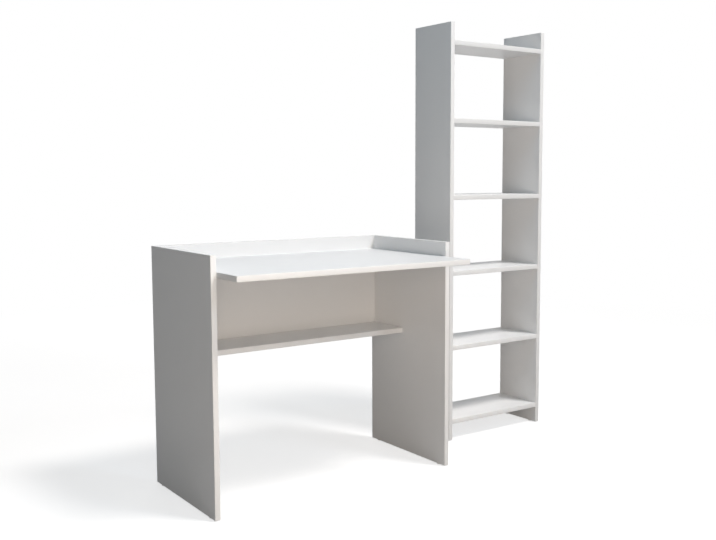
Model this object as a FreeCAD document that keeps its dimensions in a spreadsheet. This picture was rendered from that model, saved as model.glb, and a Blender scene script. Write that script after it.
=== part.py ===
"""Writing desk with a free-standing bookcase beside it, in white faced board.

Both units are flat-pack carcasses: edge-banded boards that butt against two side boards and are
pulled tight by cam fittings, located by wooden dowels, and stand on nail-on glides. The desk has a
raised rim at its back and sides, a desktop that reaches out in front of them, and a short shelf
under the desktop against its back panel. The bookcase is an open ladder of six shelves.

The frame has +X to the right, +Y to the back and +Z up. Its origin is on the floor, at the middle
of the two units together, and both backs stand in one plane, as against a wall.
"""
import FreeCAD, Part
import os
import re

SIZES = (
    ("desk_width", 904.0, "over both side boards"),
    ("desk_depth", 446.0, "of the side boards"),
    ("desk_height", 800.0, "floor to the top of the side boards"),
    ("desktop_overhang", 130.0, "desktop in front of the side boards"),
    ("desktop_upstand", 50.0, "rim above the desktop"),
    ("desk_shelf_depth", 180.0, "of the shelf under the desktop"),
    ("desk_shelf_rise", 448.0, "floor to the underside of that shelf"),
    ("unit_gap", 193.0, "between the desk and the bookcase"),
    ("bookcase_width", 488.0, "over both side boards"),
    ("bookcase_depth", 217.0, "of every bookcase board"),
    ("bookcase_height", 1600.0, "floor to the top of the side boards"),
    ("bookcase_foot", 66.0, "floor to the underside of the lowest shelf"),
    ("bookcase_rim", 66.0, "side boards above the top shelf"),
    ("board", 18.0, "thickness of every board with its facing"),
    ("edging", 1.0, "thickness of the edge strips"),
    ("cam_radius", 7.4, "cam housing"),
    ("cam_length", 12.5, "cam housing along its axis"),
    ("cam_sink", 1.0, "mouth of the bore to the face of the housing"),
    ("cam_play", 0.1, "round the housing in its bore"),
    ("cam_setback", 24.0, "joint face to the housing's axis"),
    ("cam_slot", 7.2, "width and height of the slot for the bolt's head"),
    ("cam_slot_reach", 3.4, "slot past the housing's axis"),
    ("driver_arm", 3.4, "driver cross, middle to the end of an arm"),
    ("driver_half", 1.3, "half the width of an arm"),
    ("driver_depth", 3.0, "depth of the driver cross"),
    ("bolt_thread_radius", 2.5, "screwed into the side board"),
    ("bolt_thread_length", 11.0, "screwed into the side board"),
    ("bolt_flange_radius", 3.7, "stop against the side board"),
    ("bolt_flange_length", 2.0, "stop against the side board"),
    ("bolt_neck_radius", 2.0, "between the flange and the head"),
    ("bolt_head_radius", 3.2, "caught in the cam"),
    ("bolt_head_length", 4.6, "caught in the cam"),
    ("bolt_bore_radius", 4.0, "bore along the shelf for the bolt"),
    ("bolt_play", 0.1, "round the thread in its hole"),
    ("dowel_radius", 4.0, "wooden dowel"),
    ("dowel_length", 30.0, "wooden dowel"),
    ("dowel_seat", 10.0, "length that sits in a board's face"),
    ("dowel_play", 0.1, "round the dowel in its hole"),
    ("hole_end_play", 0.5, "behind a bolt, a dowel or a nail"),
    ("cap_radius", 9.0, "cover cap over a cam"),
    ("cap_thickness", 1.0, "cover cap"),
    ("spigot_radius", 1.2, "spigot of the cap in the driver cross"),
    ("spigot_length", 2.0, "spigot inside the driver cross"),
    ("glide_height", 3.0, "floor to the side board"),
    ("glide_radius", 8.5, "nail-on glide"),
    ("glide_inset", 40.0, "glide's axis from the front and back edges"),
    ("nail_radius", 1.0, "shank of the glide's nail"),
    ("nail_head_radius", 2.4, "head of the glide's nail"),
    ("nail_head_length", 0.9, "head of the glide's nail"),
    ("nail_head_sink", 0.5, "floor to the nail's head"),
    ("nail_length", 14.0, "nail inside the side board"),
    ("nail_play", 0.1, "round the nail and its head"),
    ("desktop_fitting_inset", 60.0, "desktop's cams from the side fronts and the back panel"),
    ("panel_fitting_inset", 60.0, "back panel's cams from its top and bottom"),
    ("shelf_fitting_inset", 45.0, "cams and dowels of the shelves from their edges"),
    ("dowel_spacing", 64.0, "cam to its neighbouring dowel in the desktop"),
)
BOOKCASE_SHELVES = 6
# Small fittings and their holes repeat often, so each is drawn with this many flat sides
CAM_SIDES = 12
OPEN_BORE_SIDES = 24
BOLT_SIDES = 8
DOWEL_SIDES = 8
CAP_SIDES = 16
SPIGOT_SIDES = 6
GLIDE_SIDES = 16
NAIL_SIDES = 8
DESKTOP_BACK_DOWEL_SHARES = (0.2, 0.5, 0.8)
SHELF_BACK_DOWEL_SHARES = (0.3, 0.7)

# Places shared by both units, as sums of the named sizes
DESK_LEFT = "(-(desk_width + unit_gap + bookcase_width) / 2)"
DESK_RIGHT = f"({DESK_LEFT} + desk_width)"
CASE_LEFT = f"({DESK_RIGHT} + unit_gap)"
CASE_RIGHT = f"({CASE_LEFT} + bookcase_width)"
BACK = "((desk_depth + desktop_overhang) / 2)"
DESK_FRONT = f"({BACK} - desk_depth)"
CASE_FRONT = f"({BACK} - bookcase_depth)"
PANEL_FRONT = f"({BACK} - board)"
DESKTOP_TOP = "(desk_height - desktop_upstand)"
DESKTOP_UNDER = f"({DESKTOP_TOP} - board)"
NAIL_HEAD_TOP = "(nail_head_sink + nail_head_length)"
SHELF_PITCH = f"((bookcase_height - bookcase_rim - board - bookcase_foot) / {BOOKCASE_SHELVES - 1})"

AXES = "xyz"
X_AXIS = FreeCAD.Vector(1, 0, 0)
Y_AXIS = FreeCAD.Vector(0, 1, 0)
Z_AXIS = FreeCAD.Vector(0, 0, 1)
# Turns that point a piece's own +Z along a direction of the frame
POINTING = {
    "+x": FreeCAD.Rotation(Y_AXIS, 90),
    "-x": FreeCAD.Rotation(Y_AXIS, -90),
    "+y": FreeCAD.Rotation(X_AXIS, -90),
    "-y": FreeCAD.Rotation(X_AXIS, 90),
    "+z": FreeCAD.Rotation(),
    "-z": FreeCAD.Rotation(X_AXIS, 180),
}
HALF_TURN = FreeCAD.Rotation(Z_AXIS, 180)
OPPOSITE = {"+x": "-x", "-x": "+x", "+y": "-y", "-y": "+y", "+z": "-z", "-z": "+z"}

doc = FreeCAD.newDocument("desk_with_bookcase")
sheet = doc.addObject("Spreadsheet::Sheet", "sizes")
for row, (alias, value, note) in enumerate(SIZES, start=1):
    sheet.set(f"A{row}", note)
    sheet.set(f"B{row}", str(value))
    sheet.setAlias(f"B{row}", alias)
doc.recompute()

subparts = {}
drills = {}
copies = {}


def bound(text):
    """Return the sum with each size named as a cell of the sheet."""
    return re.sub(r"[a-z][a-z_]+", lambda match: "sizes." + match.group(0), text)


def move(point, direction, distance):
    """Return the point moved along a direction such as +x by a sum of sizes."""
    moved = list(point)
    axis = AXES.index(direction[1])
    moved[axis] = f"({moved[axis]} {direction[0]} {distance})"
    return tuple(moved)


def place(item, point, turn):
    """Turn an object, then bind its place to the sheet."""
    item.Placement = FreeCAD.Placement(FreeCAD.Vector(), turn)
    for axis, text in zip(AXES, point):
        item.setExpression(f".Placement.Base.{axis}", bound(text))


def prism(name, sides, radius, start, end):
    """Make a flat-sided length of a fitting or a hole along its own Z axis."""
    solid = doc.addObject("Part::Prism", name)
    solid.Polygon = sides
    solid.setExpression("Circumradius", bound(radius))
    solid.setExpression("Height", bound(f"{end} - {start}"))
    solid.setExpression(".Placement.Base.z", bound(start))
    return solid


def stack(name, steps):
    """Fuse lengths of a fitting: sides, radius, start and end of each along its own Z axis."""
    lengths = [prism(f"{name}_length_{index + 1}", *step) for index, step in enumerate(steps)]
    fused = doc.addObject("Part::MultiFuse", name)
    fused.Shapes = lengths
    fused.Refine = True
    return fused


def cut(name, solid, tool):
    """Cut a tool out of a solid."""
    result = doc.addObject("Part::Cut", name)
    result.Base = solid
    result.Tool = tool
    return result


def cam_housing():
    """Make the cam housing: a drum with a slot for the bolt's head and a cross for the driver."""
    drum = prism("cam_drum", CAM_SIDES, "cam_radius", "cam_sink", "(cam_sink + cam_length)")
    slot = box("cam_slot",
               ("(-cam_radius - cam_play)", "(-cam_slot / 2)", "((board - cam_slot) / 2)"),
               ("cam_slot_reach", "(cam_slot / 2)", "((board + cam_slot) / 2)"))
    floor = "(cam_sink + driver_depth)"
    arms = [
        box("driver_arm_across", ("(-driver_arm)", "(-driver_half)", "0"),
            ("driver_arm", "driver_half", floor)),
        box("driver_arm_along", ("(-driver_half)", "(-driver_arm)", "0"),
            ("driver_half", "driver_arm", floor)),
    ]
    pockets = doc.addObject("Part::MultiFuse", "cam_pockets")
    pockets.Shapes = [slot] + arms
    return cut("cam_housing", drum, pockets)


def glide():
    """Make a glide: a plastic foot with a stepped hole for its nail."""
    foot = prism("glide_foot", GLIDE_SIDES, "glide_radius", "0", "glide_height")
    hole = stack("glide_hole", (
        (NAIL_SIDES, "nail_head_radius + nail_play", "0", NAIL_HEAD_TOP),
        (NAIL_SIDES, "nail_radius + nail_play", NAIL_HEAD_TOP, "glide_height"),
    ))
    return cut("glide", foot, hole)


def patterns():
    """Make one of each small fitting, for the groups of copies."""
    head_end = "(cam_setback + bolt_head_length / 2)"
    head_start = "(cam_setback - bolt_head_length / 2)"
    return {
        "cam_housings": cam_housing(),
        "cam_bolts": stack("cam_bolt", (
            (BOLT_SIDES, "bolt_thread_radius", "(-bolt_thread_length)", "0"),
            (BOLT_SIDES, "bolt_flange_radius", "0", "bolt_flange_length"),
            (BOLT_SIDES, "bolt_neck_radius", "bolt_flange_length", head_start),
            (BOLT_SIDES, "bolt_head_radius", head_start, head_end),
        )),
        "dowels": prism("dowel", DOWEL_SIDES, "dowel_radius", "(-dowel_seat)",
                        "(dowel_length - dowel_seat)"),
        "cam_caps": stack("cam_cap", (
            (CAP_SIDES, "cap_radius", "(-cap_thickness)", "0"),
            (SPIGOT_SIDES, "spigot_radius", "0", "(cam_sink + spigot_length)"),
        )),
        "glides": glide(),
        "glide_nails": stack("glide_nail", (
            (NAIL_SIDES, "nail_head_radius", "nail_head_sink", NAIL_HEAD_TOP),
            (NAIL_SIDES, "nail_radius", NAIL_HEAD_TOP, "(glide_height + nail_length)"),
        )),
    }


def drill(board, point, direction, sides, radius, depth):
    """Add a drilled hole to a board, from a point on its face along a direction."""
    tools = drills.setdefault(board, [])
    tool = prism(f"{board}_drill_{len(tools) + 1}", sides, radius, "0", depth)
    place(tool, point, POINTING[direction])
    tools.append(tool)


def copy_fitting(unit, kind, point, turn):
    """Add a copy of a small fitting to the group that a unit has of it."""
    group = copies.setdefault(f"{unit}_{kind}", [])
    link = doc.addObject("App::Link", f"{unit}_{kind}_{len(group) + 1}")
    link.LinkedObject = fittings[kind]
    link.LinkTransform = True
    place(link, point, turn)
    group.append(link)


def cam_joint(unit, side, board, point, inward, mouth, capped):
    """Join a board's end to a side board with a cam housing and its bolt.

    The point is on the side board's inner face, in the middle of the board's thickness. Inward
    points from there along the board, and mouth is the face of the board where the cam goes in.
    A bore that no cap covers stays in sight, so it is drawn rounder.
    """
    drill(side, point, OPPOSITE[inward], BOLT_SIDES, "bolt_thread_radius + bolt_play",
          "(bolt_thread_length + hole_end_play)")
    drill(board, point, inward, BOLT_SIDES, "bolt_bore_radius", "cam_setback")
    cam_point = move(move(point, inward, "cam_setback"), mouth, "board / 2")
    bore_sides = CAM_SIDES if capped else OPEN_BORE_SIDES
    drill(board, cam_point, OPPOSITE[mouth], bore_sides, "cam_radius + cam_play",
          "(cam_sink + cam_length)")
    turn = POINTING[OPPOSITE[mouth]]
    if inward == "-x":
        turn = turn.multiply(HALF_TURN)
    copy_fitting(unit, "cam_bolts", point, POINTING[inward])
    copy_fitting(unit, "cam_housings", cam_point, turn)
    if capped:
        copy_fitting(unit, "cam_caps", cam_point, turn)


def dowel_joint(unit, face_board, end_board, point, inward):
    """Locate a board's edge against another board's face with a dowel at a point of the joint."""
    radius = "dowel_radius + dowel_play"
    drill(face_board, point, OPPOSITE[inward], DOWEL_SIDES, radius, "(dowel_seat + hole_end_play)")
    drill(end_board, point, inward, DOWEL_SIDES, radius,
          "(dowel_length - dowel_seat + hole_end_play)")
    copy_fitting(unit, "dowels", point, POINTING[inward])


def box(name, low, high):
    """Make a box between two corners that are sums of sizes."""
    solid = doc.addObject("Part::Box", name)
    for length, start, end in zip(("Length", "Width", "Height"), low, high):
        solid.setExpression(length, bound(f"{end} - {start}"))
    place(solid, low, FreeCAD.Rotation())
    return solid


def board_with_edging(name, low, high, edged, edging_drilled=False):
    """Make a faced board and the strips on its edges, with the holes that its joints asked for.

    Strips go on in the order given, from the outside in, so the first ones run the full length
    and the later ones stop between them.
    """
    low, high = list(low), list(high)
    strips = []
    for edge in edged:
        axis = AXES.index(edge[1])
        strip_low, strip_high = list(low), list(high)
        if edge[0] == "-":
            low[axis] = f"({low[axis]} + edging)"
            strip_high[axis] = low[axis]
        else:
            high[axis] = f"({high[axis]} - edging)"
            strip_low[axis] = high[axis]
        strips.append(box(f"{name}_strip_{len(strips) + 1}", strip_low, strip_high))
    tool = doc.addObject("Part::MultiFuse", f"{name}_drills")
    tool.Shapes = drills[name]
    subparts[name] = cut(f"{name}_drilled", box(f"{name}_blank", low, high), tool)
    edging = doc.addObject("Part::Compound", f"{name}_strips")
    edging.Links = strips
    if edging_drilled:
        edging = cut(f"{name}_strips_drilled", edging, tool)
    subparts[f"{name}_edging"] = edging


def stand_on_glides(unit, side, middle, front):
    """Put a glide with its nail under each end of a side board."""
    for y in (f"({front} + glide_inset)", f"({BACK} - glide_inset)"):
        foot = (middle, y, "0")
        copy_fitting(unit, "glides", foot, POINTING["+z"])
        copy_fitting(unit, "glide_nails", foot, POINTING["+z"])
        drill(side, move(foot, "+z", "glide_height"), "+z", NAIL_SIDES,
              "nail_radius + nail_play", "(nail_length + hole_end_play)")


def desk():
    """Make the desk: its joints first, then the boards that they drill."""
    inner_left = f"({DESK_LEFT} + board)"
    inner_right = f"({DESK_RIGHT} - board)"
    inner_width = "(desk_width - 2 * board)"
    desktop_middle = f"({DESKTOP_TOP} - board / 2)"
    shelf_middle = "(desk_shelf_rise + board / 2)"
    shelf_front = f"({PANEL_FRONT} - desk_shelf_depth)"
    panel_middle = f"({BACK} - board / 2)"
    panel_dowel = "((desk_shelf_rise + desk_height) / 2)"
    sides = (("desk_left_side", inner_left, "+x"), ("desk_right_side", inner_right, "-x"))
    for side, face, inward in sides:
        front_cam = f"({DESK_FRONT} + desktop_fitting_inset)"
        back_cam = f"({PANEL_FRONT} - desktop_fitting_inset)"
        for y in (front_cam, back_cam):
            cam_joint("desk", side, "desktop", (face, y, desktop_middle), inward, "-z", True)
        for y in (f"({front_cam} + dowel_spacing)", f"({back_cam} - dowel_spacing)"):
            dowel_joint("desk", side, "desktop", (face, y, desktop_middle), inward)
        for z in ("(desk_shelf_rise + panel_fitting_inset)", "(desk_height - panel_fitting_inset)"):
            cam_joint("desk", side, "desk_back_panel", (face, panel_middle, z), inward, "+y", False)
        dowel_joint("desk", side, "desk_back_panel", (face, panel_middle, panel_dowel), inward)
        y = f"({shelf_front} + shelf_fitting_inset)"
        cam_joint("desk", side, "desk_shelf", (face, y, shelf_middle), inward, "-z", True)
        y = f"({PANEL_FRONT} - shelf_fitting_inset)"
        dowel_joint("desk", side, "desk_shelf", (face, y, shelf_middle), inward)
    back_rows = (
        ("desktop", DESKTOP_BACK_DOWEL_SHARES, desktop_middle),
        ("desk_shelf", SHELF_BACK_DOWEL_SHARES, shelf_middle),
    )
    for name, shares, z in back_rows:
        for share in shares:
            x = f"({inner_left} + {share} * {inner_width})"
            dowel_joint("desk", "desk_back_panel", name, (x, PANEL_FRONT, z), "-y")
    stand_on_glides("desk", "desk_left_side", f"({DESK_LEFT} + board / 2)", DESK_FRONT)
    stand_on_glides("desk", "desk_right_side", f"({DESK_RIGHT} - board / 2)", DESK_FRONT)

    side_edges = ("-y", "+y", "+z", "-z")
    board_with_edging("desk_left_side", (DESK_LEFT, DESK_FRONT, "glide_height"),
                      (inner_left, BACK, "desk_height"), side_edges, True)
    board_with_edging("desk_right_side", (inner_right, DESK_FRONT, "glide_height"),
                      (DESK_RIGHT, BACK, "desk_height"), side_edges, True)
    board_with_edging("desktop", (inner_left, f"({DESK_FRONT} - desktop_overhang)", DESKTOP_UNDER),
                      (inner_right, PANEL_FRONT, DESKTOP_TOP), ("-y", "-x", "+x"), True)
    board_with_edging("desk_back_panel", (inner_left, PANEL_FRONT, "desk_shelf_rise"),
                      (inner_right, BACK, "desk_height"), ("+z", "-z"))
    board_with_edging("desk_shelf", (inner_left, shelf_front, "desk_shelf_rise"),
                      (inner_right, PANEL_FRONT, "(desk_shelf_rise + board)"), ("-y",))


def bookcase():
    """Make the bookcase: two tall sides with six shelves between them and no back."""
    inner_left = f"({CASE_LEFT} + board)"
    inner_right = f"({CASE_RIGHT} - board)"
    sides = (("bookcase_left_side", inner_left, "+x"), ("bookcase_right_side", inner_right, "-x"))
    shelves = {}
    for index in range(BOOKCASE_SHELVES):
        shelves[f"bookcase_shelf_{index + 1}"] = f"(bookcase_foot + {index} * {SHELF_PITCH})"
    for name, under in shelves.items():
        middle = f"({under} + board / 2)"
        for side, face, inward in sides:
            y = f"({CASE_FRONT} + shelf_fitting_inset)"
            cam_joint("bookcase", side, name, (face, y, middle), inward, "-z", True)
            y = f"({BACK} - shelf_fitting_inset)"
            dowel_joint("bookcase", side, name, (face, y, middle), inward)
    stand_on_glides("bookcase", "bookcase_left_side", f"({CASE_LEFT} + board / 2)", CASE_FRONT)
    stand_on_glides("bookcase", "bookcase_right_side", f"({CASE_RIGHT} - board / 2)", CASE_FRONT)

    side_edges = ("-y", "+y", "+z", "-z")
    board_with_edging("bookcase_left_side", (CASE_LEFT, CASE_FRONT, "glide_height"),
                      (inner_left, BACK, "bookcase_height"), side_edges, True)
    board_with_edging("bookcase_right_side", (inner_right, CASE_FRONT, "glide_height"),
                      (CASE_RIGHT, BACK, "bookcase_height"), side_edges, True)
    for name, under in shelves.items():
        board_with_edging(name, (inner_left, CASE_FRONT, under),
                          (inner_right, BACK, f"({under} + board)"), ("-y", "+y"))


def group_fittings():
    """Gather the copies of each small fitting into one sub-part for each unit."""
    for name, links in copies.items():
        group = doc.addObject("Part::Compound", f"{name}_group")
        group.Links = links
        subparts[name] = group


fittings = patterns()
desk()
bookcase()
group_fittings()
doc.recompute()

for name, item in subparts.items():
    item.Label = name
for item in doc.Objects:
    if "Invalid" in item.State or "Error" in item.State:
        raise RuntimeError(f"{item.Name} failed to build: {item.State}")
for name, item in subparts.items():
    if item.Shape.isNull() or not item.Shape.isValid() or not item.Shape.Solids:
        raise RuntimeError(f"{name} has no valid solid")

os.makedirs("parts", exist_ok=True)
for name, item in subparts.items():
    item.Shape.exportStep(f"parts/{name}.step")
print(f"{len(subparts)} sub-parts, {sum(len(item.Shape.Solids) for item in subparts.values())} solids")
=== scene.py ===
"""Looks of a white desk with a free-standing bookcase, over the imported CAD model.

The boards stay as the CAD has them and get their facing as a material. Their edge strips and the
small fittings, which the CAD draws with flat sides, are modelled finer here and stand for its
nodes. Sizes are in metres in the frame of the CAD: +X to the right, +Y to the back, +Z up.
"""
import logging
import math
from abc import ABC, abstractmethod
from dataclasses import dataclass, field
from enum import Enum
from typing import ClassVar, Iterable, Mapping, Sequence

import bmesh
import bpy
from mathutils import Matrix, Vector


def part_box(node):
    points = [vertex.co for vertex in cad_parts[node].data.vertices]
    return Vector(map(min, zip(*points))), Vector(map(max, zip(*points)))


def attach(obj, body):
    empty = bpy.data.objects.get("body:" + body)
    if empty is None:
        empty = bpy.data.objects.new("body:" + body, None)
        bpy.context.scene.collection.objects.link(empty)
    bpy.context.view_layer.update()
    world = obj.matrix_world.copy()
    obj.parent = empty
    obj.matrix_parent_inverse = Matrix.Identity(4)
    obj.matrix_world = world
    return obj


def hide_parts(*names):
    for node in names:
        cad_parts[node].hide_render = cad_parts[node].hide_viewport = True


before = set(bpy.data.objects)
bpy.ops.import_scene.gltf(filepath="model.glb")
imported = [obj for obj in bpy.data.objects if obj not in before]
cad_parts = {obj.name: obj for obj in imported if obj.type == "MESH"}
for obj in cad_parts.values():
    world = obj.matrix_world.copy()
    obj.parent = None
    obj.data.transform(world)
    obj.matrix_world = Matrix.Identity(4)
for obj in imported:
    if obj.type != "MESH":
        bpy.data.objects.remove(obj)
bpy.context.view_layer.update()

ROOT_BODY = "root"
FINISH_UV = "finish"
MERGE_DISTANCE = 1e-6
SMOOTH_ANGLE = math.radians(32)
HALF_TURN = 0.5
FACE_ON = 0.5
NOISE_ROUGHNESS = 0.55
MIX_SHARE, MIX_FIRST, MIX_SECOND, MIX_RESULT = 0, 6, 7, 2
FILM_WIDTH = 36.0

log = logging.getLogger("desk_with_bookcase")

Colour = tuple[float, float, float]
Point = tuple[float, float, float]
Profile = Sequence[tuple[float, float]]
Shape = bmesh.types.BMesh


class Slot(Enum):
    """Material slots of the record."""

    BOARD = "white_board"
    EDGING = "white_edging"
    PLASTIC = "white_plastic"
    CASTING = "zinc_casting"
    STEEL = "zinc_plated_steel"
    BEECH = "beech"


class Axis(Enum):
    """Axes of the frame, by their place in a vector."""

    X = 0
    Y = 1
    Z = 2


class Direction(Enum):
    """Directions of the frame: the axis and the sign along it."""

    RIGHT = (Axis.X, 1)
    LEFT = (Axis.X, -1)
    BACK = (Axis.Y, 1)
    FRONT = (Axis.Y, -1)
    UP = (Axis.Z, 1)
    DOWN = (Axis.Z, -1)

    @property
    def axis(self) -> Axis:
        """Axis that the direction lies along."""
        return self.value[0]

    @property
    def sign(self) -> int:
        """Plus or minus one along the axis."""
        return self.value[1]

    @property
    def vector(self) -> Vector:
        """Unit vector along the direction."""
        return Vector([float(self.sign) if axis is self.axis else 0.0 for axis in Axis])

    @property
    def opposite(self) -> "Direction":
        """Direction that points the other way."""
        return Direction((self.axis, -self.sign))

    @property
    def turn(self) -> Matrix:
        """Find the turn that points a fitting's own +Z along the direction.

        Returns:
            The turn, as a matrix of four by four.
        """
        if self.axis is Axis.X:
            return Matrix.Rotation(math.radians(90 * self.sign), 4, "Y")
        if self.axis is Axis.Y:
            return Matrix.Rotation(math.radians(-90 * self.sign), 4, "X")
        return Matrix.Identity(4) if self.sign > 0 else Matrix.Rotation(math.pi, 4, "X")


@dataclass(frozen=True)
class Signal:
    """A node's socket that takes part in sums, so that shader maths reads as Python."""

    bench: "Bench"
    socket: bpy.types.NodeSocket

    def _sum(self, operation: str, *terms: "Term") -> "Signal":
        """Add the Math node of one operation on the terms."""
        return self.bench.node("ShaderNodeMath", {"operation": operation}, dict(enumerate(terms)))

    def __add__(self, other: "Term") -> "Signal":
        """Add a term."""
        return self._sum("ADD", self, other)

    __radd__ = __add__

    def __sub__(self, other: "Term") -> "Signal":
        """Take a term away."""
        return self._sum("SUBTRACT", self, other)

    def __rsub__(self, other: "Term") -> "Signal":
        """Take this socket away from a term."""
        return self._sum("SUBTRACT", other, self)

    def __mul__(self, other: "Term") -> "Signal":
        """Multiply by a term."""
        return self._sum("MULTIPLY", self, other)

    __rmul__ = __mul__

    def __abs__(self) -> "Signal":
        """Drop the sign."""
        return self._sum("ABSOLUTE", self)

    def __gt__(self, other: "Term") -> "Signal":
        """One where this socket is the greater, else nought."""
        return self._sum("GREATER_THAN", self, other)

    def limited(self) -> "Signal":
        """Keep the value between nought and one."""
        return self._sum("MINIMUM", self._sum("MAXIMUM", self, 0.0), 1.0)


Term = Signal | float | int
SocketKey = str | int
SocketValue = Signal | float | int | Sequence[float]
Settings = Mapping[str, object]
Inputs = Mapping[SocketKey, SocketValue]


class Bench:
    """A node tree in the making."""

    def __init__(self, tree: bpy.types.NodeTree) -> None:
        """Clear a material's or the world's node tree."""
        self.tree = tree
        tree.nodes.clear()

    def node(
        self,
        kind: str,
        settings: Settings | None = None,
        inputs: Inputs | None = None,
        output: SocketKey = 0,
    ) -> Signal:
        """Add a node and give one of its outputs."""
        return Signal(self, self._add(kind, settings or {}, inputs or {}).outputs[output])

    def end(self, kind: str, inputs: Inputs) -> None:
        """Add the node that the tree ends in."""
        self._add(kind, {}, inputs)

    def _add(self, kind: str, settings: Settings, inputs: Inputs) -> bpy.types.Node:
        """Add any node, with its settings set before its sockets.

        Args:
            kind: Blender's name of the node's type.
            settings: properties of the node; "stops" gives a colour ramp its positions and colours.
            inputs: values or links of its sockets, by name or number.

        Returns:
            The node.
        """
        node = self.tree.nodes.new(kind)
        for name, value in settings.items():
            if name != "stops":
                setattr(node, name, value)
                continue
            ramp = node.color_ramp.elements
            for index, (position, colour) in enumerate(value):
                element = ramp[index] if index < len(ramp) else ramp.new(position)
                element.position, element.color = position, (*colour, 1.0)
        for key, value in inputs.items():
            if isinstance(value, Signal):
                self.tree.links.new(value.socket, node.inputs[key])
            elif isinstance(value, (int, float)):
                node.inputs[key].default_value = value
            else:
                current = node.inputs[key].default_value
                padded = tuple(value) + (1.0,) * (len(current) - len(value))
                node.inputs[key].default_value = padded
        return node

    def place(self) -> Signal:
        """Object coordinates, which are the frame's own."""
        return self.node("ShaderNodeTexCoord", output="Object")

    def noise(self, scale: float, detail: float = 2.0, where: Signal | None = None) -> Signal:
        """Noise between nought and one, by its cells in a metre and its finer octaves."""
        inputs = {"Scale": scale, "Detail": detail, "Roughness": NOISE_ROUGHNESS}
        return self.node("ShaderNodeTexNoise", inputs={"Vector": where or self.place(), **inputs})

    def streaks(self, across: float, run: float, detail: float = 2.0) -> Signal:
        """Noise on the piece's own map, stretched into lines or rings.

        Args:
            across: cells in a metre across a strip, or in a turn round a turned piece.
            run: cells in a metre along it.
            detail: finer octaves.

        Returns:
            The noise value.
        """
        lay = self.node("ShaderNodeUVMap", {"uv_map": FINISH_UV})
        stretch = {"Vector": lay, "Scale": (across, run, 1.0)}
        return self.noise(1.0, detail, self.node("ShaderNodeMapping", inputs=stretch))

    def blend(self, share: Term, first: SocketValue, second: SocketValue) -> Signal:
        """Mix two colours, by the share of the second."""
        inputs = {MIX_SHARE: share, MIX_FIRST: first, MIX_SECOND: second}
        return self.node("ShaderNodeMix", {"data_type": "RGBA"}, inputs, output=MIX_RESULT)

    def blend_shaders(self, share: Term, first: Signal, second: Signal) -> Signal:
        """Mix two shaders, by the share of the second."""
        return self.node("ShaderNodeMixShader", inputs={0: share, 1: first, 2: second})

    def bump(self, height: Signal, distance: float) -> Signal:
        """Raise the surface by a height, as a share of a distance, and give its normal."""
        return self.node("ShaderNodeBump", inputs={"Height": height, "Distance": distance})

    def surface(self, inputs: Inputs) -> None:
        """End the tree in one shader."""
        shader = self.node("ShaderNodeBsdfPrincipled", inputs=inputs)
        self.end("ShaderNodeOutputMaterial", {"Surface": shader})


class Finish(ABC):
    """What a piece is made of, as nodes."""

    slot: ClassVar[Slot]

    @property
    def title(self) -> str:
        """Name of the material."""
        return self.slot.value

    @abstractmethod
    def lay(self, bench: Bench) -> None:
        """Build the finish's nodes on a bench."""

    def material(self) -> bpy.types.Material:
        """Fetch the material, made on its first use.

        Returns:
            The material.
        """
        known = bpy.data.materials.get(f"{self.title}_finish")
        if known:
            return known
        made = bpy.data.materials.new(f"{self.title}_finish")
        made.use_nodes = True
        self.lay(Bench(made.node_tree))
        return made


@dataclass(frozen=True)
class FacedBoard(Finish):
    """Chipboard with a white pearl-textured melamine facing, and its chips bare in cuts and bores.

    The facing lies on the two faces across the board's thickness.
    """

    slot: ClassVar[Slot] = Slot.BOARD
    thickness: Axis
    lighter: Colour = (0.856, 0.857, 0.857)
    darker: Colour = (0.792, 0.794, 0.795)
    chip_tones: tuple[tuple[float, Colour], ...] = (
        (0.0, (0.23, 0.13, 0.06)),
        (0.45, (0.46, 0.30, 0.16)),
        (1.0, (0.66, 0.48, 0.30)),
    )
    cloud_scale: float = 2.3
    cloud_share: float = 0.45
    pearl_scale: float = 850.0
    pearl_height: float = 0.6
    sheen_scale: float = 26.0
    chip_scale: float = 420.0
    chip_height: float = 0.5
    relief: float = 0.00045
    roughness: float = 0.32
    sheen_spread: float = 0.14
    pearl_spread: float = 0.10
    bare_roughness: float = 0.9

    @property
    def title(self) -> str:
        """Name of the material, one for each way that boards lie."""
        return f"{self.slot.value}_across_{self.thickness.name.lower()}"

    def lay(self, bench: Bench) -> None:
        """Build the facing, the bare chips and the mask between them.

        Args:
            bench: where the nodes stand.
        """
        normal = bench.node("ShaderNodeTexCoord", output="Normal")
        across = bench.node(
            "ShaderNodeSeparateXYZ", inputs={"Vector": normal}, output=self.thickness.name
        )
        faced = abs(across) > FACE_ON
        clouds = bench.noise(self.cloud_scale)
        pearl = bench.noise(self.pearl_scale, detail=3.0)
        sheen = bench.noise(self.sheen_scale, detail=4.0)
        tone = clouds * self.cloud_share + pearl * (1 - self.cloud_share)
        facing = bench.blend(tone, self.darker, self.lighter)
        cells = {"Vector": bench.place(), "Scale": self.chip_scale}
        chip = bench.node("ShaderNodeTexVoronoi", inputs=cells, output="Color")
        shade = bench.node("ShaderNodeSeparateXYZ", inputs={"Vector": chip}, output="X")
        chips = bench.node("ShaderNodeValToRGB", {"stops": self.chip_tones}, {"Fac": shade})
        height = faced * pearl * self.pearl_height + (1 - faced) * shade * self.chip_height
        smooth = self.roughness + self.sheen_spread * sheen + self.pearl_spread * pearl
        bench.surface({
            "Base Color": bench.blend(faced, chips, facing),
            "Roughness": faced * smooth + (1 - faced) * self.bare_roughness,
            "Normal": bench.bump(height, self.relief),
        })


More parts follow.
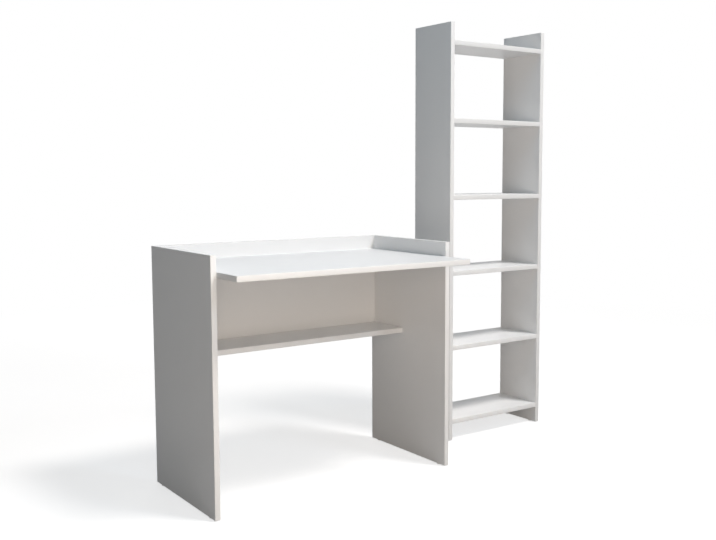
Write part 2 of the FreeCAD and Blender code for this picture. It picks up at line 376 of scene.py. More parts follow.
@dataclass(frozen=True)
class EdgeBand(Finish):
    """White plastic edge strip with the fine lengthwise lines that scraping leaves."""

    slot: ClassVar[Slot] = Slot.EDGING
    lighter: Colour = (0.862, 0.860, 0.855)
    darker: Colour = (0.808, 0.806, 0.800)
    line_scale: float = 1400.0
    run_scale: float = 9.0
    line_height: float = 0.6
    peel_scale: float = 520.0
    drift_scale: float = 3.1
    drift_share: float = 0.7
    relief: float = 0.00009
    roughness: float = 0.30
    line_spread: float = 0.10
    peel_spread: float = 0.05

    def lay(self, bench: Bench) -> None:
        """Build the scraped lines over a fine orange peel.

        Args:
            bench: where the nodes stand.
        """
        lines = bench.streaks(self.line_scale, self.run_scale)
        peel = bench.noise(self.peel_scale)
        drift = bench.noise(self.drift_scale)
        tone = drift * self.drift_share + lines * (1 - self.drift_share)
        height = lines * self.line_height + peel * (1 - self.line_height)
        bench.surface({
            "Base Color": bench.blend(tone, self.darker, self.lighter),
            "Roughness": self.roughness + self.line_spread * lines + self.peel_spread * peel,
            "Normal": bench.bump(height, self.relief),
        })


@dataclass(frozen=True)
class MouldedPlastic(Finish):
    """White injection-moulded plastic with the rings of its tool and a fine peel."""

    slot: ClassVar[Slot] = Slot.PLASTIC
    lighter: Colour = (0.850, 0.848, 0.838)
    darker: Colour = (0.795, 0.790, 0.772)
    ring_scale: float = 2600.0
    ring_waver: float = 0.6
    ring_height: float = 0.5
    peel_scale: float = 900.0
    flow_scale: float = 110.0
    relief: float = 0.00004
    roughness: float = 0.28
    ring_spread: float = 0.12
    flow_spread: float = 0.10

    def lay(self, bench: Bench) -> None:
        """Build the rings round each moulding and the peel.

        Args:
            bench: where the nodes stand.
        """
        rings = bench.streaks(self.ring_waver, self.ring_scale, detail=1.0)
        peel = bench.noise(self.peel_scale, detail=3.0)
        flow = bench.noise(self.flow_scale)
        height = rings * self.ring_height + peel * (1 - self.ring_height)
        bench.surface({
            "Base Color": bench.blend(flow, self.darker, self.lighter),
            "Roughness": self.roughness + self.ring_spread * rings + self.flow_spread * flow,
            "Normal": bench.bump(height, self.relief),
        })


@dataclass(frozen=True)
class DieCastZinc(Finish):
    """Grey die-cast zinc, mottled, with a grainy skin and duller patches."""

    slot: ClassVar[Slot] = Slot.CASTING
    lighter: Colour = (0.640, 0.645, 0.650)
    darker: Colour = (0.380, 0.385, 0.395)
    mottle_scale: float = 340.0
    mottle_contrast: float = 1.7
    mottle_offset: float = 0.35
    grain_scale: float = 2400.0
    grain_height: float = 0.6
    relief: float = 0.00006
    metallic: float = 0.92
    metallic_spread: float = 0.20
    roughness: float = 0.34
    mottle_spread: float = 0.26
    grain_spread: float = 0.08

    def lay(self, bench: Bench) -> None:
        """Build the mottling and the grain.

        Args:
            bench: where the nodes stand.
        """
        mottle = bench.noise(self.mottle_scale, detail=4.0)
        grain = bench.noise(self.grain_scale, detail=3.0)
        share = (mottle * self.mottle_contrast - self.mottle_offset).limited()
        height = grain * self.grain_height + mottle * (1 - self.grain_height)
        bench.surface({
            "Base Color": bench.blend(share, self.darker, self.lighter),
            "Metallic": self.metallic - self.metallic_spread * mottle,
            "Roughness": self.roughness + self.mottle_spread * mottle + self.grain_spread * grain,
            "Normal": bench.bump(height, self.relief),
        })


@dataclass(frozen=True)
class PlatedSteel(Finish):
    """Zinc-plated turned steel with a bluish to straw tint and the lines of the lathe."""

    slot: ClassVar[Slot] = Slot.STEEL
    bluish: Colour = (0.600, 0.640, 0.690)
    straw: Colour = (0.720, 0.680, 0.560)
    tint_scale: float = 180.0
    tint_contrast: float = 2.2
    tint_offset: float = 0.6
    lathe_scale: float = 5200.0
    lathe_waver: float = 0.8
    relief: float = 0.00002
    roughness: float = 0.16
    lathe_spread: float = 0.16
    tint_spread: float = 0.10

    def lay(self, bench: Bench) -> None:
        """Build the tint and the lathe's lines.

        Args:
            bench: where the nodes stand.
        """
        tint = bench.noise(self.tint_scale, detail=3.0)
        lathe = bench.streaks(self.lathe_waver, self.lathe_scale, detail=1.0)
        share = (tint * self.tint_contrast - self.tint_offset).limited()
        bench.surface({
            "Base Color": bench.blend(share, self.bluish, self.straw),
            "Metallic": 1.0,
            "Roughness": self.roughness + self.lathe_spread * lathe + self.tint_spread * tint,
            "Normal": bench.bump(lathe, self.relief),
        })


@dataclass(frozen=True)
class BeechWood(Finish):
    """Pale beech with short dark rays along the grain."""

    slot: ClassVar[Slot] = Slot.BEECH
    lighter: Colour = (0.640, 0.455, 0.285)
    darker: Colour = (0.470, 0.300, 0.170)
    ray: Colour = (0.290, 0.165, 0.085)
    grain_scales: tuple[float, float] = (22.0, 60.0)
    grain_height: float = 0.7
    ray_scales: tuple[float, float] = (70.0, 420.0)
    ray_level: float = 0.66
    ray_depth: float = 0.7
    relief: float = 0.00010
    roughness: float = 0.58
    grain_spread: float = 0.20

    def lay(self, bench: Bench) -> None:
        """Build the grain along the dowel and its rays.

        Args:
            bench: where the nodes stand.
        """
        grain = bench.streaks(*self.grain_scales, detail=4.0)
        rays = bench.streaks(*self.ray_scales, detail=1.0) > self.ray_level
        wood = bench.blend(grain, self.darker, self.lighter)
        height = grain * self.grain_height + rays * (1 - self.grain_height)
        bench.surface({
            "Base Color": bench.blend(rays * self.ray_depth, wood, self.ray),
            "Roughness": self.roughness + self.grain_spread * grain,
            "Normal": bench.bump(height, self.relief),
        })


def stand(name: str, data: bpy.types.ID) -> bpy.types.Object:
    """Make an object and link it to the scene.

    Args:
        name: name of the object.
        data: its mesh, light or camera.

    Returns:
        The object.
    """
    item = bpy.data.objects.new(name, data)
    bpy.context.scene.collection.objects.link(item)
    return item


@dataclass
class Piece:
    """A named piece of the dressed part, gathered from copies of patterns in one mesh.

    Attributes:
        stands_for: CAD node that it is shown instead of.
    """

    name: str
    finish: Finish
    stands_for: str
    shape: Shape = field(default_factory=bmesh.new)

    def add(self, pattern: bpy.types.Mesh, place: Matrix | None = None) -> None:
        """Add a copy of a pattern.

        Args:
            pattern: mesh to copy.
            place: where it goes, or none where the pattern is in place.
        """
        known = len(self.shape.verts)
        self.shape.from_mesh(pattern)
        self.shape.verts.ensure_lookup_table()
        if place:
            bmesh.ops.transform(self.shape, matrix=place, verts=self.shape.verts[known:])

    def hand_over(self) -> None:
        """Make the object and hand it to the frame, riding on the part's one body."""
        mesh = bpy.data.meshes.new(self.name)
        self.shape.to_mesh(mesh)
        self.shape.free()
        mesh.shade_smooth()
        mesh.set_sharp_from_angle(angle=SMOOTH_ANGLE)
        mesh.materials.append(self.finish.material())
        item = stand(self.name, mesh)
        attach(item, ROOT_BODY)
        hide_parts(self.stands_for)
        log.info("%s: %d faces, stands for %s", self.name, len(mesh.polygons), self.stands_for)


def to_pattern(name: str, shape: Shape) -> bpy.types.Mesh:
    """Turn a finished shape into a mesh to copy.

    Args:
        name: name of the mesh.
        shape: the shape, which is freed.

    Returns:
        The mesh.
    """
    mesh = bpy.data.meshes.new(name)
    shape.to_mesh(mesh)
    shape.free()
    return mesh


def turned(profile: Profile, steps: int) -> Shape:
    """Spin a profile round the Z axis into a closed shell.

    Args:
        profile: radius and height of each point; it starts and ends on the axis, or is a loop.
        steps: flat sides of a full turn.

    Returns:
        The shell, with its faces outwards.
    """
    shape = bmesh.new()
    points = [shape.verts.new((radius, 0.0, height)) for radius, height in profile]
    lines = [shape.edges.new(pair) for pair in zip(points, points[1:])]
    bmesh.ops.spin(
        shape, geom=points + lines, cent=(0, 0, 0), axis=(0, 0, 1), dvec=(0, 0, 0),
        angle=math.tau, steps=steps, use_merge=True,
    )
    bmesh.ops.remove_doubles(shape, verts=shape.verts, dist=MERGE_DISTANCE)
    bmesh.ops.recalc_face_normals(shape, faces=shape.faces)
    return shape


def wrapped(name: str, shape: Shape) -> bpy.types.Mesh:
    """Map a shape round the Z axis and turn it into a mesh to copy.

    The map has the turn across and the run of the profile along.

    Args:
        name: name of the mesh.
        shape: the shape, which is freed.

    Returns:
        The mesh.
    """
    lay = shape.loops.layers.uv.new(FINISH_UV)
    for face in shape.faces:
        turns = [math.atan2(loop.vert.co.y, loop.vert.co.x) / math.tau for loop in face.loops]
        crosses = max(turns) - min(turns) > HALF_TURN
        for loop, turn in zip(face.loops, turns):
            radius = math.hypot(loop.vert.co.x, loop.vert.co.y)
            full = 1.0 if crosses and turn < 0 else 0.0
            loop[lay].uv = (turn + full, loop.vert.co.z - radius)
    return to_pattern(name, shape)


def block(low: Vector, high: Vector) -> Shape:
    """Make a box between two corners.

    Args:
        low: lowest corner.
        high: highest corner.

    Returns:
        The box.
    """
    shape = bmesh.new()
    bmesh.ops.create_cube(shape, size=1.0)
    bmesh.ops.scale(shape, vec=high - low, verts=shape.verts)
    bmesh.ops.translate(shape, vec=(low + high) / 2, verts=shape.verts)
    return shape


def bevel(shape: Shape, edges: list[bmesh.types.BMEdge], offset: float, segments: int = 1) -> None:
    """Bevel edges of a shape.

    Args:
        shape: shape to bevel, changed in place.
        edges: its edges to bevel.
        offset: width of the bevel on each face.
        segments: rows of faces.
    """
    bmesh.ops.bevel(
        shape, geom=edges, offset=offset, offset_type="OFFSET", segments=segments,
        profile=0.5, affect="EDGES", material=-1,
    )


def carve(body: Shape, tools: Iterable[Shape], name: str) -> Shape:
    """Cut tools out of a body.

    Args:
        body: closed shell, which is freed.
        tools: closed shells, which are freed.
        name: name of the working objects.

    Returns:
        The carved shell.
    """
    item = stand(name, to_pattern(name, body))
    cutters = []
    for number, tool in enumerate(tools):
        cutter = stand(f"{name}_cutter_{number}", to_pattern(name, tool))
        cut = item.modifiers.new(cutter.name, "BOOLEAN")
        cut.operation = "DIFFERENCE"
        cut.solver = "EXACT"
        cut.object = cutter
        cutters.append(cutter)
    bpy.context.view_layer.update()
    ready = item.evaluated_get(bpy.context.evaluated_depsgraph_get())
    carved = bpy.data.meshes.new_from_object(ready)
    shape = bmesh.new()
    shape.from_mesh(carved)
    bmesh.ops.remove_doubles(shape, verts=shape.verts, dist=MERGE_DISTANCE)
    for done in [item, *cutters]:
        bpy.data.objects.remove(done)
    return shape


@dataclass(frozen=True)
class Seat:
    """Place of one fitting in a joint.

    Attributes:
        point: point of the joint, on the face that the board butts against.
        inward: direction from there along the board.
        mouth: face of the board where a cam goes in.
        capped: whether a cover cap hides the cam.
    """

    point: Vector
    inward: Direction
    mouth: Direction = Direction.DOWN
    capped: bool = True


class Fitting(ABC):
    """A small fitting, modelled once round its own Z axis and copied into its places."""

    @abstractmethod
    def build(self) -> bpy.types.Mesh:
        """Model the fitting as a mesh to copy."""


@dataclass
class CamHousing(Fitting):
    """Round die-cast drum with a driver cross in its face and a slot for the bolt's head.

    Attributes:
        ring_insets: lines of the ring in its face, in from the drum's side.
        groove_depths: lines of the groove round the drum, down from its face.
        slot_back: end of the slot, past the drum's side.
    """

    radius: float = 0.0072
    sink: float = 0.001
    length: float = 0.0125
    rim: float = 0.0004
    ring_insets: tuple[float, ...] = (0.0014, 0.0012, 0.0009)
    ring_depth: float = 0.0002
    groove_depths: tuple[float, ...] = (0.0026, 0.0030, 0.0036, 0.0040)
    groove: float = 0.0006
    setback: float = 0.024
    slot: float = 0.0072
    slot_reach: float = 0.0034
    slot_back: float = 0.01
    arm: float = 0.0034
    arm_half: float = 0.0013
    cross_depth: float = 0.003
    board: float = 0.018
    steps: int = 48

    def build(self) -> bpy.types.Mesh:
        """Model the housing with its face at the sink.

        Returns:
            The pattern.
        """
        top, bottom = self.sink, self.sink + self.length
        inner, middle, outer = (self.radius - inset for inset in self.ring_insets)
        start, deep, shallow, end = (top + depth for depth in self.groove_depths)
        waist = self.radius - self.groove
        drum = turned((
            (0.0, top), (inner, top), (middle, top + self.ring_depth), (outer, top),
            (self.radius - self.rim, top), (self.radius, top + self.rim),
            (self.radius, start), (waist, deep), (waist, shallow), (self.radius, end),
            (self.radius, bottom - self.rim), (self.radius - self.rim, bottom), (0.0, bottom),
        ), self.steps)
        half, low, floor = self.slot / 2, (self.board - self.slot) / 2, top + self.cross_depth
        tools = (
            ((-self.slot_back, -half, low), (self.slot_reach, half, low + self.slot)),
            ((-self.arm, -self.arm_half, 0.0), (self.arm, self.arm_half, floor)),
            ((-self.arm_half, -self.arm, 0.0), (self.arm_half, self.arm, floor)),
        )
        blocks = [block(Vector(near), Vector(far)) for near, far in tools]
        return wrapped("cam_housing", carve(drum, blocks, "cam_housing"))

    def place(self, seat: Seat) -> Matrix:
        """Work out where the housing of a joint goes.

        Args:
            seat: the joint.

        Returns:
            Its place, with the slot towards the bolt.
        """
        point = seat.point + seat.inward.vector * self.setback + seat.mouth.vector * self.board / 2
        turn = seat.mouth.opposite.turn
        if seat.inward is Direction.LEFT:
            turn = turn @ Matrix.Rotation(math.pi, 4, "Z")
        return Matrix.Translation(point) @ turn


@dataclass
class CamBolt(Fitting):
    """Steel bolt of a cam: thread, stop flange, neck and round head.

    Attributes:
        tip_share: radius of the tip, as a share of the thread's root.
        ring_shares: start and end of a ring's crest and its foot, as shares of the pitch.
        edge: width of the smallest chamfer.
    """

    thread_radius: float = 0.0025
    thread_root: float = 0.0019
    thread_length: float = 0.011
    tip_share: float = 0.5
    tip_run: float = 0.0012
    pitch: float = 0.0018
    ring_shares: tuple[float, ...] = (0.30, 0.42, 0.72)
    flange_radius: float = 0.0037
    flange_length: float = 0.002
    neck_radius: float = 0.0020
    head_radius: float = 0.0032
    head_start: float = 0.0217
    head_end: float = 0.0263
    edge: float = 0.0003
    steps: int = 20

    def build(self) -> bpy.types.Mesh:
        """Model the bolt with its thread below the origin.

        Returns:
            The pattern.
        """
        root, tip = self.thread_root, -self.thread_length
        rise, crest, fall = (share * self.pitch for share in self.ring_shares)
        profile = [(0.0, tip), (root * self.tip_share, tip)]
        height = tip + self.tip_run
        while height + self.pitch <= 0.0:
            profile += [
                (root, height), (self.thread_radius, height + rise),
                (self.thread_radius, height + crest), (root, height + fall),
            ]
            height += self.pitch
        edge, flange, head = self.edge, self.flange_radius, self.head_radius
        profile += [
            (root, 0.0), (flange - edge, 0.0), (flange, edge),
            (flange, self.flange_length - edge), (flange - edge, self.flange_length),
            (self.neck_radius, self.flange_length), (self.neck_radius, self.head_start),
            (head - 2 * edge, self.head_start), (head, self.head_start + 2 * edge),
            (head, self.head_end - 3 * edge), (head - 2 * edge, self.head_end - edge),
            (head - 5 * edge, self.head_end), (0.0, self.head_end),
        ]
        return wrapped("cam_bolt", turned(profile, self.steps))


@dataclass
class FlutedDowel(Fitting):
    """Beech dowel with flutes for the glue and chamfered ends.

    Attributes:
        spacing: sides of the dowel from one flute to the next.
        seat: length below the origin.
    """

    radius: float = 0.0039
    flute: float = 0.0003
    flutes: int = 12
    spacing: int = 4
    chamfer: float = 0.0007
    seat: float = 0.010
    length: float = 0.030

    def build(self) -> bpy.types.Mesh:
        """Model the dowel with its seat below the origin.

        Returns:
            The pattern.
        """
        segments = self.spacing * self.flutes
        shape = bmesh.new()
        bmesh.ops.create_cone(
            shape, cap_ends=True, segments=segments, radius1=self.radius, radius2=self.radius,
            depth=self.length,
        )
        for vert in shape.verts:
            step = round(math.atan2(vert.co.y, vert.co.x) / math.tau * segments)
            if step % self.spacing == 0:
                vert.co.xy *= (self.radius - self.flute) / self.radius
        ends = [edge for edge in shape.edges if edge.verts[0].co.z * edge.verts[1].co.z > 0]
        bevel(shape, ends, self.chamfer)
        bmesh.ops.translate(shape, vec=(0, 0, self.length / 2 - self.seat), verts=shape.verts)
        return wrapped("dowel", shape)


@dataclass
class CoverCap(Fitting):
    """White cap that hides a cam: a low dome with a soft rim and a spigot for the driver cross.

    Attributes:
        dome: points of the dome, as shares of the radius and of the thickness.
        rim: points of the rim, in from the radius and as shares of the thickness.
    """

    radius: float = 0.0089
    thickness: float = 0.001
    dome: Profile = ((0.0, 1.0), (0.55, 0.97), (0.82, 0.86))
    rim: Profile = ((0.0005, 0.68), (0.0002, 0.45), (0.0, 0.2475), (0.0, 0.0))
    spigot_radius: float = 0.0012
    spigot_length: float = 0.003
    chamfer: float = 0.0003
    steps: int = 40

    def build(self) -> bpy.types.Mesh:
        """Model the cap with its dome below the origin.

        Returns:
            The pattern.
        """
        dome = [(self.radius * out, -self.thickness * up) for out, up in self.dome]
        rim = [(self.radius - inset, -self.thickness * up) for inset, up in self.rim]
        spigot = [
            (self.spigot_radius, 0.0), (self.spigot_radius, self.spigot_length - self.chamfer),
            (self.spigot_radius - self.chamfer, self.spigot_length), (0.0, self.spigot_length),
        ]
        return wrapped("cover_cap", turned([*dome, *rim, *spigot], self.steps))


@dataclass
class Glide(Fitting):
    """Plastic glide: a foot with a round rim and a stepped, chamfered hole for its nail."""

    radius: float = 0.0085
    height: float = 0.003
    rim: float = 0.0009
    lead: float = 0.0003
    edge: float = 0.0002
    head_hole: float = 0.0025
    head_top: float = 0.0014
    shank_hole: float = 0.0011
    steps: int = 40

    def build(self) -> bpy.types.Mesh:
        """Model the glide with its sole on the floor.

        Returns:
            The pattern.
        """
        corner = self.rim * (1 - math.sqrt(0.5))
        mouth = (self.head_hole + self.lead, 0.0)
        profile = (
            mouth, (self.radius - self.rim, 0.0), (self.radius - corner, corner),
            (self.radius, self.rim), (self.radius, self.height - self.edge),
            (self.radius - self.edge, self.height), (self.shank_hole, self.height),
            (self.shank_hole, self.head_top), (self.head_hole, self.head_top),
            (self.head_hole, self.lead), mouth,
        )
        return wrapped("glide", turned(profile, self.steps))


@dataclass
class GlideNail(Fitting):
    """Steel nail of a glide: a low round head, a shank and a point.

    Attributes:
        dome: points of the head, as shares of its radius and in from its lowest point.
    """

    head_radius: float = 0.0024
    head_low: float = 0.0005
    dome: Profile = ((0.0, 0.0), (0.6, 0.00005), (0.9, 0.0002), (1.0, 0.0005))
    head_top: float = 0.0014
    shank_radius: float = 0.001
    tip: float = 0.017
    tip_radius: float = 0.0002
    point: float = 0.0025
    steps: int = 20

    def build(self) -> bpy.types.Mesh:
        """Model the nail on the glide's axis.

        Returns:
            The pattern.
        """
        profile = [(self.head_radius * out, self.head_low + up) for out, up in self.dome]
        profile += [
            (self.head_radius, self.head_top), (self.shank_radius, self.head_top),
            (self.shank_radius, self.tip - self.point), (self.tip_radius, self.tip),
            (0.0, self.tip),
        ]
        return wrapped("glide_nail", turned(profile, self.steps))


@dataclass
class EdgedBoard:
    """A faced board of the CAD with edge strips of its own.

    Attributes:
        node: CAD node of the board.
        thickness: axis across the board.
        edged: faces with a strip, from the outside in: the first ones run the full length.
        arris: radius of a strip's outer edges.
        arris_steps: rows of faces round an outer edge.
        seam: width of the line between a strip and the facing.
    """

    node: str
    thickness: Axis
    edged: tuple[Direction, ...]
    strip: float = 0.001
    arris: float = 0.0007
    arris_steps: int = 3
    seam: float = 0.00012

    def dress(self) -> None:
        """Give the board its facing and build its strips."""
        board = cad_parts[self.node]
        facing = FacedBoard(self.thickness).material()
        for slot in board.material_slots:
            slot.material = facing
        log.info("%s: facing", self.node)
        strips = Piece(f"{self.node}_edge_strips", EdgeBand(), f"{self.node}_edging")
        for number, side in enumerate(self.edged):
            low, high = (corner.copy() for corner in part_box(self.node))
            for face in self.edged[number:]:
                corner = high if face.sign > 0 else low
                corner[face.axis.value] += face.sign * self.strip
            strips.add(self._strip(low, high, side))
        strips.hand_over()

    def _strip(self, low: Vector, high: Vector, side: Direction) -> bpy.types.Mesh:
        """Model the strip on one face of the edged board.

        Args:
            low: lowest corner of the board with this strip, changed in place.
            high: highest corner of the board with this strip, changed in place.
            side: face that the strip is on.

        Returns:
            The strip, in place.
        """
        out = side.axis.value
        outer, inner = (high, low) if side.sign > 0 else (low, high)
        inner[out] = outer[out] - side.sign * self.strip
        shape = block(low, high)
        run = max(range(3), key=lambda axis: high[axis] - low[axis])
        on_face = [
            edge for edge in shape.edges
            if all(abs(vert.co[out] - outer[out]) < MERGE_DISTANCE for vert in edge.verts)
        ]
        behind = [
            edge for edge in shape.edges
            if all(abs(vert.co[out] - outer[out]) > self.strip / 2 for vert in edge.verts)
            and abs(edge.verts[0].co[run] - edge.verts[1].co[run]) > self.strip
        ]
        bevel(shape, behind, self.seam)
        bevel(shape, on_face, self.arris, self.arris_steps)
        lay = shape.loops.layers.uv.new(FINISH_UV)
        cross = self.thickness.value
        for face in shape.faces:
            for loop in face.loops:
                spot = loop.vert.co
                loop[lay].uv = (spot[cross] + spot[out], spot[run])
        return to_pattern(f"{self.node}_{side.name.lower()}_strip", shape)


@dataclass
class Unit(ABC):
    """A carcass of edged boards, held by cam fittings and dowels, on nail-on glides."""

    fitting_inset: float = 0.045
    glide_inset: float = 0.040
    title: ClassVar[str]

    def side(self, name: str) -> tuple[Vector, Vector]:
        """Corners of the core of the left or the right side board."""
        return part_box(f"{self.title}_{name}_side")

    @property
    def ends(self) -> tuple[tuple[float, Direction], ...]:
        """Inner face of each side board and the direction inwards from it."""
        left, right = self.side("left"), self.side("right")
        return ((left[1].x, Direction.RIGHT), (right[0].x, Direction.LEFT))

    @property
    def front(self) -> float:
        """Front of the side boards, with their strips."""
        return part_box(f"{self.title}_left_side_edging")[0].y

    @property
    def back(self) -> float:
        """Back of the side boards, with their strips."""
        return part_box(f"{self.title}_left_side_edging")[1].y

    @abstractmethod
    def boards(self) -> Iterable[EdgedBoard]:
        """List the boards."""

    @abstractmethod
    def cams(self) -> list[Seat]:
        """List the cam joints."""

    @abstractmethod
    def dowels(self) -> list[Seat]:
        """List the dowel joints."""

    def feet(self) -> list[Matrix]:
        """Find the places of the glides, on the floor under the middle of each side board.

        Returns:
            A place for each glide.
        """
        return [
            Matrix.Translation(((low.x + high.x) / 2, y, 0.0))
            for low, high in (self.side("left"), self.side("right"))
            for y in (self.front + self.glide_inset, self.back - self.glide_inset)
        ]

    def build(self) -> None:
        """Dress the boards and build the fittings."""
        for board in self.boards():
            board.dress()
        housing = CamHousing()
        cams = self.cams()
        drums = [housing.place(seat) for seat in cams]
        caps = [housing.place(seat) for seat in cams if seat.capped]
        bolts = [self._point(seat) for seat in cams]
        dowels = [self._point(seat) for seat in self.dowels()]
        self._gather("cam_housings", housing, DieCastZinc(), drums)
        self._gather("cam_bolts", CamBolt(), PlatedSteel(), bolts)
        self._gather("cam_caps", CoverCap(), MouldedPlastic(), caps)
        self._gather("dowels", FlutedDowel(), BeechWood(), dowels)
        self._gather("glides", Glide(), MouldedPlastic(), self.feet())
        self._gather("glide_nails", GlideNail(), PlatedSteel(), self.feet())

    @staticmethod
    def _point(seat: Seat) -> Matrix:
        """Place of a bolt or dowel, which points inwards from its joint."""
        return Matrix.Translation(seat.point) @ seat.inward.turn

    @staticmethod
    def middle(node: str) -> float:
        """Height of the middle of a level board."""
        low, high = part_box(node)
        return (low.z + high.z) / 2

    def pair(
        self, y: float, z: float, mouth: Direction = Direction.DOWN, capped: bool = True
    ) -> list[Seat]:
        """Joint at each side board, at one depth and height."""
        return [Seat(Vector((x, y, z)), inward, mouth, capped) for x, inward in self.ends]

    def _gather(
        self, kind: str, fitting: Fitting, finish: Finish, places: Iterable[Matrix]
    ) -> None:
        """Make one piece of all the copies of a fitting.

        Args:
            kind: the fitting, as the CAD's node names it.
            fitting: its shape.
            finish: what it is made of.
            places: where the copies go.
        """
        pattern = fitting.build()
        piece = Piece(f"{self.title}_{kind}_set", finish, f"{self.title}_{kind}")
        for place in places:
            piece.add(pattern, place)
        piece.hand_over()
        bpy.data.meshes.remove(pattern)


SIDE_EDGES = (Direction.FRONT, Direction.BACK, Direction.UP, Direction.DOWN)


@dataclass
class Desk(Unit):
    """Desk: two sides, a desktop between them, a back panel and a shelf under the desktop."""

    title: ClassVar[str] = "desk"
    desktop_inset: float = 0.060
    panel_inset: float = 0.060
    dowel_spacing: float = 0.064
    desktop_shares: tuple[float, ...] = (0.2, 0.5, 0.8)
    shelf_shares: tuple[float, ...] = (0.3, 0.7)

    def boards(self) -> Iterable[EdgedBoard]:
        """List the desk's boards.

        Returns:
            The five boards.
        """
        return (
            EdgedBoard("desk_left_side", Axis.X, SIDE_EDGES),
            EdgedBoard("desk_right_side", Axis.X, SIDE_EDGES),
            EdgedBoard("desktop", Axis.Z, (Direction.FRONT, Direction.LEFT, Direction.RIGHT)),
            EdgedBoard("desk_back_panel", Axis.Y, (Direction.UP, Direction.DOWN)),
            EdgedBoard("desk_shelf", Axis.Z, (Direction.FRONT,)),
        )

    @property
    def panel(self) -> tuple[Vector, Vector]:
        """Find the corners of the back panel with its strips.

        Returns:
            The lowest and the highest corner.
        """
        low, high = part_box("desk_back_panel")
        edge_low, edge_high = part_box("desk_back_panel_edging")
        return Vector((low.x, low.y, edge_low.z)), Vector((high.x, high.y, edge_high.z))

    def cams(self) -> list[Seat]:
        """List the cam joints of the desktop, the back panel and the shelf.

        Returns:
            Five joints at each side board.
        """
        low, high = self.panel
        desktop, depth = self.middle("desktop"), (low.y + high.y) / 2
        shelf_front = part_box("desk_shelf_edging")[0].y
        return [
            *self.pair(self.front + self.desktop_inset, desktop),
            *self.pair(low.y - self.desktop_inset, desktop),
            *self.pair(depth, low.z + self.panel_inset, Direction.BACK, capped=False),
            *self.pair(depth, high.z - self.panel_inset, Direction.BACK, capped=False),
            *self.pair(shelf_front + self.fitting_inset, self.middle("desk_shelf")),
        ]

    def dowels(self) -> list[Seat]:
        """List the dowel joints of the desktop, the back panel and the shelf.

        Returns:
            Four joints at each side board, then those along the back panel.
        """
        low, high = self.panel
        desktop, shelf = self.middle("desktop"), self.middle("desk_shelf")
        step = self.desktop_inset + self.dowel_spacing
        seats = [
            *self.pair(self.front + step, desktop),
            *self.pair(low.y - step, desktop),
            *self.pair((low.y + high.y) / 2, (low.z + high.z) / 2),
            *self.pair(low.y - self.fitting_inset, shelf),
        ]
        for z, shares in ((desktop, self.desktop_shares), (shelf, self.shelf_shares)):
            for share in shares:
                x = low.x + share * (high.x - low.x)
                seats.append(Seat(Vector((x, low.y, z)), Direction.FRONT))
        return seats


@dataclass
class Bookcase(Unit):
    """Open bookcase: two tall sides with six shelves between them."""

    title: ClassVar[str] = "bookcase"
    shelves: int = 6

    def boards(self) -> Iterable[EdgedBoard]:
        """List the bookcase's boards.

        Yields:
            The sides, then the shelves.
        """
        yield EdgedBoard("bookcase_left_side", Axis.X, SIDE_EDGES)
        yield EdgedBoard("bookcase_right_side", Axis.X, SIDE_EDGES)
        for number in range(1, self.shelves + 1):
            yield EdgedBoard(f"bookcase_shelf_{number}", Axis.Z, (Direction.FRONT, Direction.BACK))

    def _row(self, y: float) -> list[Seat]:
        """List a joint at each end of every shelf, at one depth."""
        heights = (self.middle(f"bookcase_shelf_{number}") for number in range(1, self.shelves + 1))
        return [seat for z in heights for seat in self.pair(y, z)]

    def cams(self) -> list[Seat]:
        """List the cam joints, near the front of every shelf."""
        return self._row(self.front + self.fitting_inset)

    def dowels(self) -> list[Seat]:
        """List the dowel joints, near the back of every shelf."""
        return self._row(self.back - self.fitting_inset)


@dataclass(frozen=True)
class Lamp:
    """Square soft lamp.

    Attributes:
        aim: point that it faces.
        width: side of its square.
        power: in watts.
        glossy: whether it shows in reflections.
    """

    name: str
    place: Point
    aim: Point
    width: float
    power: float
    colour: Colour = (1.0, 1.0, 1.0)
    glossy: bool = True

    def hang(self) -> None:
        """Add the lamp to the scene."""
        light = bpy.data.lights.new(self.name, "AREA")
        light.shape = "SQUARE"
        light.size = self.width
        light.energy = self.power
        light.color = self.colour
        item = stand(self.name, light)
        item.location = self.place
        aim = Vector(self.aim) - Vector(self.place)
        item.rotation_euler = aim.to_track_quat("-Z", "Y").to_euler()
        item.visible_camera = False
        item.visible_glossy = self.glossy
        log.info("lamp %s: %.0f W", self.name, self.power)


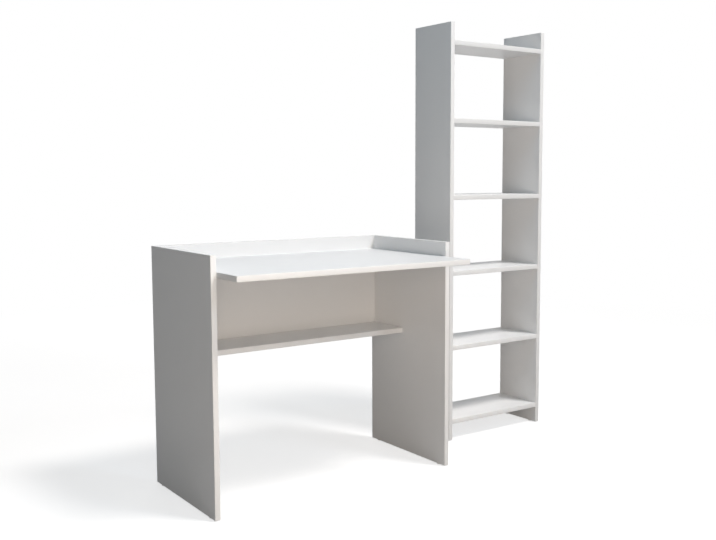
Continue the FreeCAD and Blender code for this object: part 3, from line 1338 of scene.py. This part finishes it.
@dataclass
class Studio:
    """Pale floor, white surroundings, soft lamps and the camera of the photograph."""

    floor_size: float = 60.0
    floor_seen: Colour = (1.0, 1.0, 1.0)
    floor_bounce: Colour = (0.364, 0.364, 0.366)
    floor_glow: float = 0.66
    floor_share: float = 0.5
    fade_start: float = 1.6
    fade_end: float = 4.5
    ambient: Colour = (0.50, 0.82, 1.0)
    ambient_power: float = 0.020
    lamps: tuple[Lamp, ...] = (
        Lamp("key", (2.6, -3.85, 8.5), (0.0, 0.0, 0.8), 2.0, 600.0, (1.0, 0.95, 0.91)),
        Lamp("above", (-1.0, -0.7, 2.6), (0.0, 0.0, 0.8), 1.2, 8.2, (0.52, 0.78, 1.0)),
        Lamp("low_front", (-1.1, -2.2, 0.85), (-0.2, 0.2, 0.6), 1.6, 26.0, (1.0, 0.87, 0.75)),
        Lamp("front", (3.0, -6.5, 5.0), (0.0, 0.0, 0.8), 2.0, 118.0, (0.74, 0.87, 1.0)),
        Lamp("back", (1.6, 5.0, 2.0), (0.0, 0.0, 0.8), 3.0, 85.0, glossy=False),
    )
    camera_place: Point = (-1.9545, -2.6285, 1.0390)
    camera_yaw: float = 0.636
    camera_pitch: float = -0.097
    camera_lens: float = 46.56
    camera_shift: tuple[float, float] = (-0.0499, -0.0099)

    @staticmethod
    def _seen(bench: Bench) -> Signal:
        """One for a ray that shows a surface as it looks: from the camera, a gloss or a glass."""
        kinds = ("Is Camera Ray", "Is Glossy Ray", "Is Transmission Ray")
        return sum(bench.node("ShaderNodeLightPath", output=kind) for kind in kinds).limited()

    def surround(self) -> None:
        """Make the world white to the eye and faint as a light."""
        world = bpy.data.worlds.new("studio_surroundings")
        world.use_nodes = True
        bpy.context.scene.world = world
        bench = Bench(world.node_tree)
        soft = {"Color": self.ambient, "Strength": self.ambient_power}
        light = bench.node("ShaderNodeBackground", inputs=soft)
        seen = {"Color": self.floor_seen, "Strength": 1.0}
        white = bench.node("ShaderNodeBackground", inputs=seen)
        mixed = bench.blend_shaders(self._seen(bench), light, white)
        bench.end("ShaderNodeOutputWorld", {"Surface": mixed})

    def lay_floor(self) -> None:
        """Lay a floor that looks white, keeps the object's shadow and gives a neutral bounce."""
        shape = bmesh.new()
        bmesh.ops.create_grid(shape, x_segments=1, y_segments=1, size=self.floor_size / 2)
        mesh = to_pattern("studio_floor", shape)
        material = bpy.data.materials.new("studio_floor_paint")
        material.use_nodes = True
        bench = Bench(material.node_tree)
        paint = tuple(self.floor_share * channel for channel in self.floor_seen)
        shaded = bench.node("ShaderNodeBsdfDiffuse", inputs={"Color": paint})
        glow = {"Color": self.floor_seen, "Strength": self.floor_glow}
        lit = bench.node("ShaderNodeEmission", inputs=glow)
        near = bench.node("ShaderNodeAddShader", inputs={0: shaded, 1: lit})
        white = bench.node("ShaderNodeEmission", inputs={"Color": self.floor_seen, "Strength": 1.0})
        length = {"operation": "LENGTH"}
        away = bench.node("ShaderNodeVectorMath", length, {0: bench.place()}, "Value")
        fade = ((away - self.fade_start) * (1 / (self.fade_end - self.fade_start))).limited()
        seen = bench.blend_shaders(fade, near, white)
        bounce = bench.node("ShaderNodeBsdfDiffuse", inputs={"Color": self.floor_bounce})
        mixed = bench.blend_shaders(self._seen(bench), bounce, seen)
        bench.end("ShaderNodeOutputMaterial", {"Surface": mixed})
        mesh.materials.append(material)
        stand("studio_floor", mesh)

    def stand_camera(self) -> None:
        """Stand the camera where the photograph was taken."""
        yaw, pitch = self.camera_yaw, self.camera_pitch
        level = Vector((math.sin(yaw), math.cos(yaw), 0.0))
        forward = level * math.cos(pitch) + Direction.UP.vector * math.sin(pitch)
        right = Vector((math.cos(yaw), -math.sin(yaw), 0.0))
        up = right.cross(forward)
        camera = bpy.data.cameras.new("photograph")
        camera.sensor_width = FILM_WIDTH
        camera.lens = self.camera_lens
        camera.shift_x, camera.shift_y = self.camera_shift
        item = stand("photograph", camera)
        turn = Matrix((right, up, -forward)).transposed().to_4x4()
        item.matrix_world = Matrix.Translation(self.camera_place) @ turn
        bpy.context.scene.camera = item

    def build(self) -> None:
        """Build the studio."""
        bpy.context.scene.view_settings.view_transform = "Standard"
        self.surround()
        self.lay_floor()
        for lamp in self.lamps:
            lamp.hang()
        self.stand_camera()


def main() -> None:
    """Build the studio, then dress the desk and the bookcase."""
    logging.basicConfig(level=logging.INFO, format="%(message)s")
    Studio().build()
    Desk().build()
    Bookcase().build()


if __name__ == "__main__":
    main()
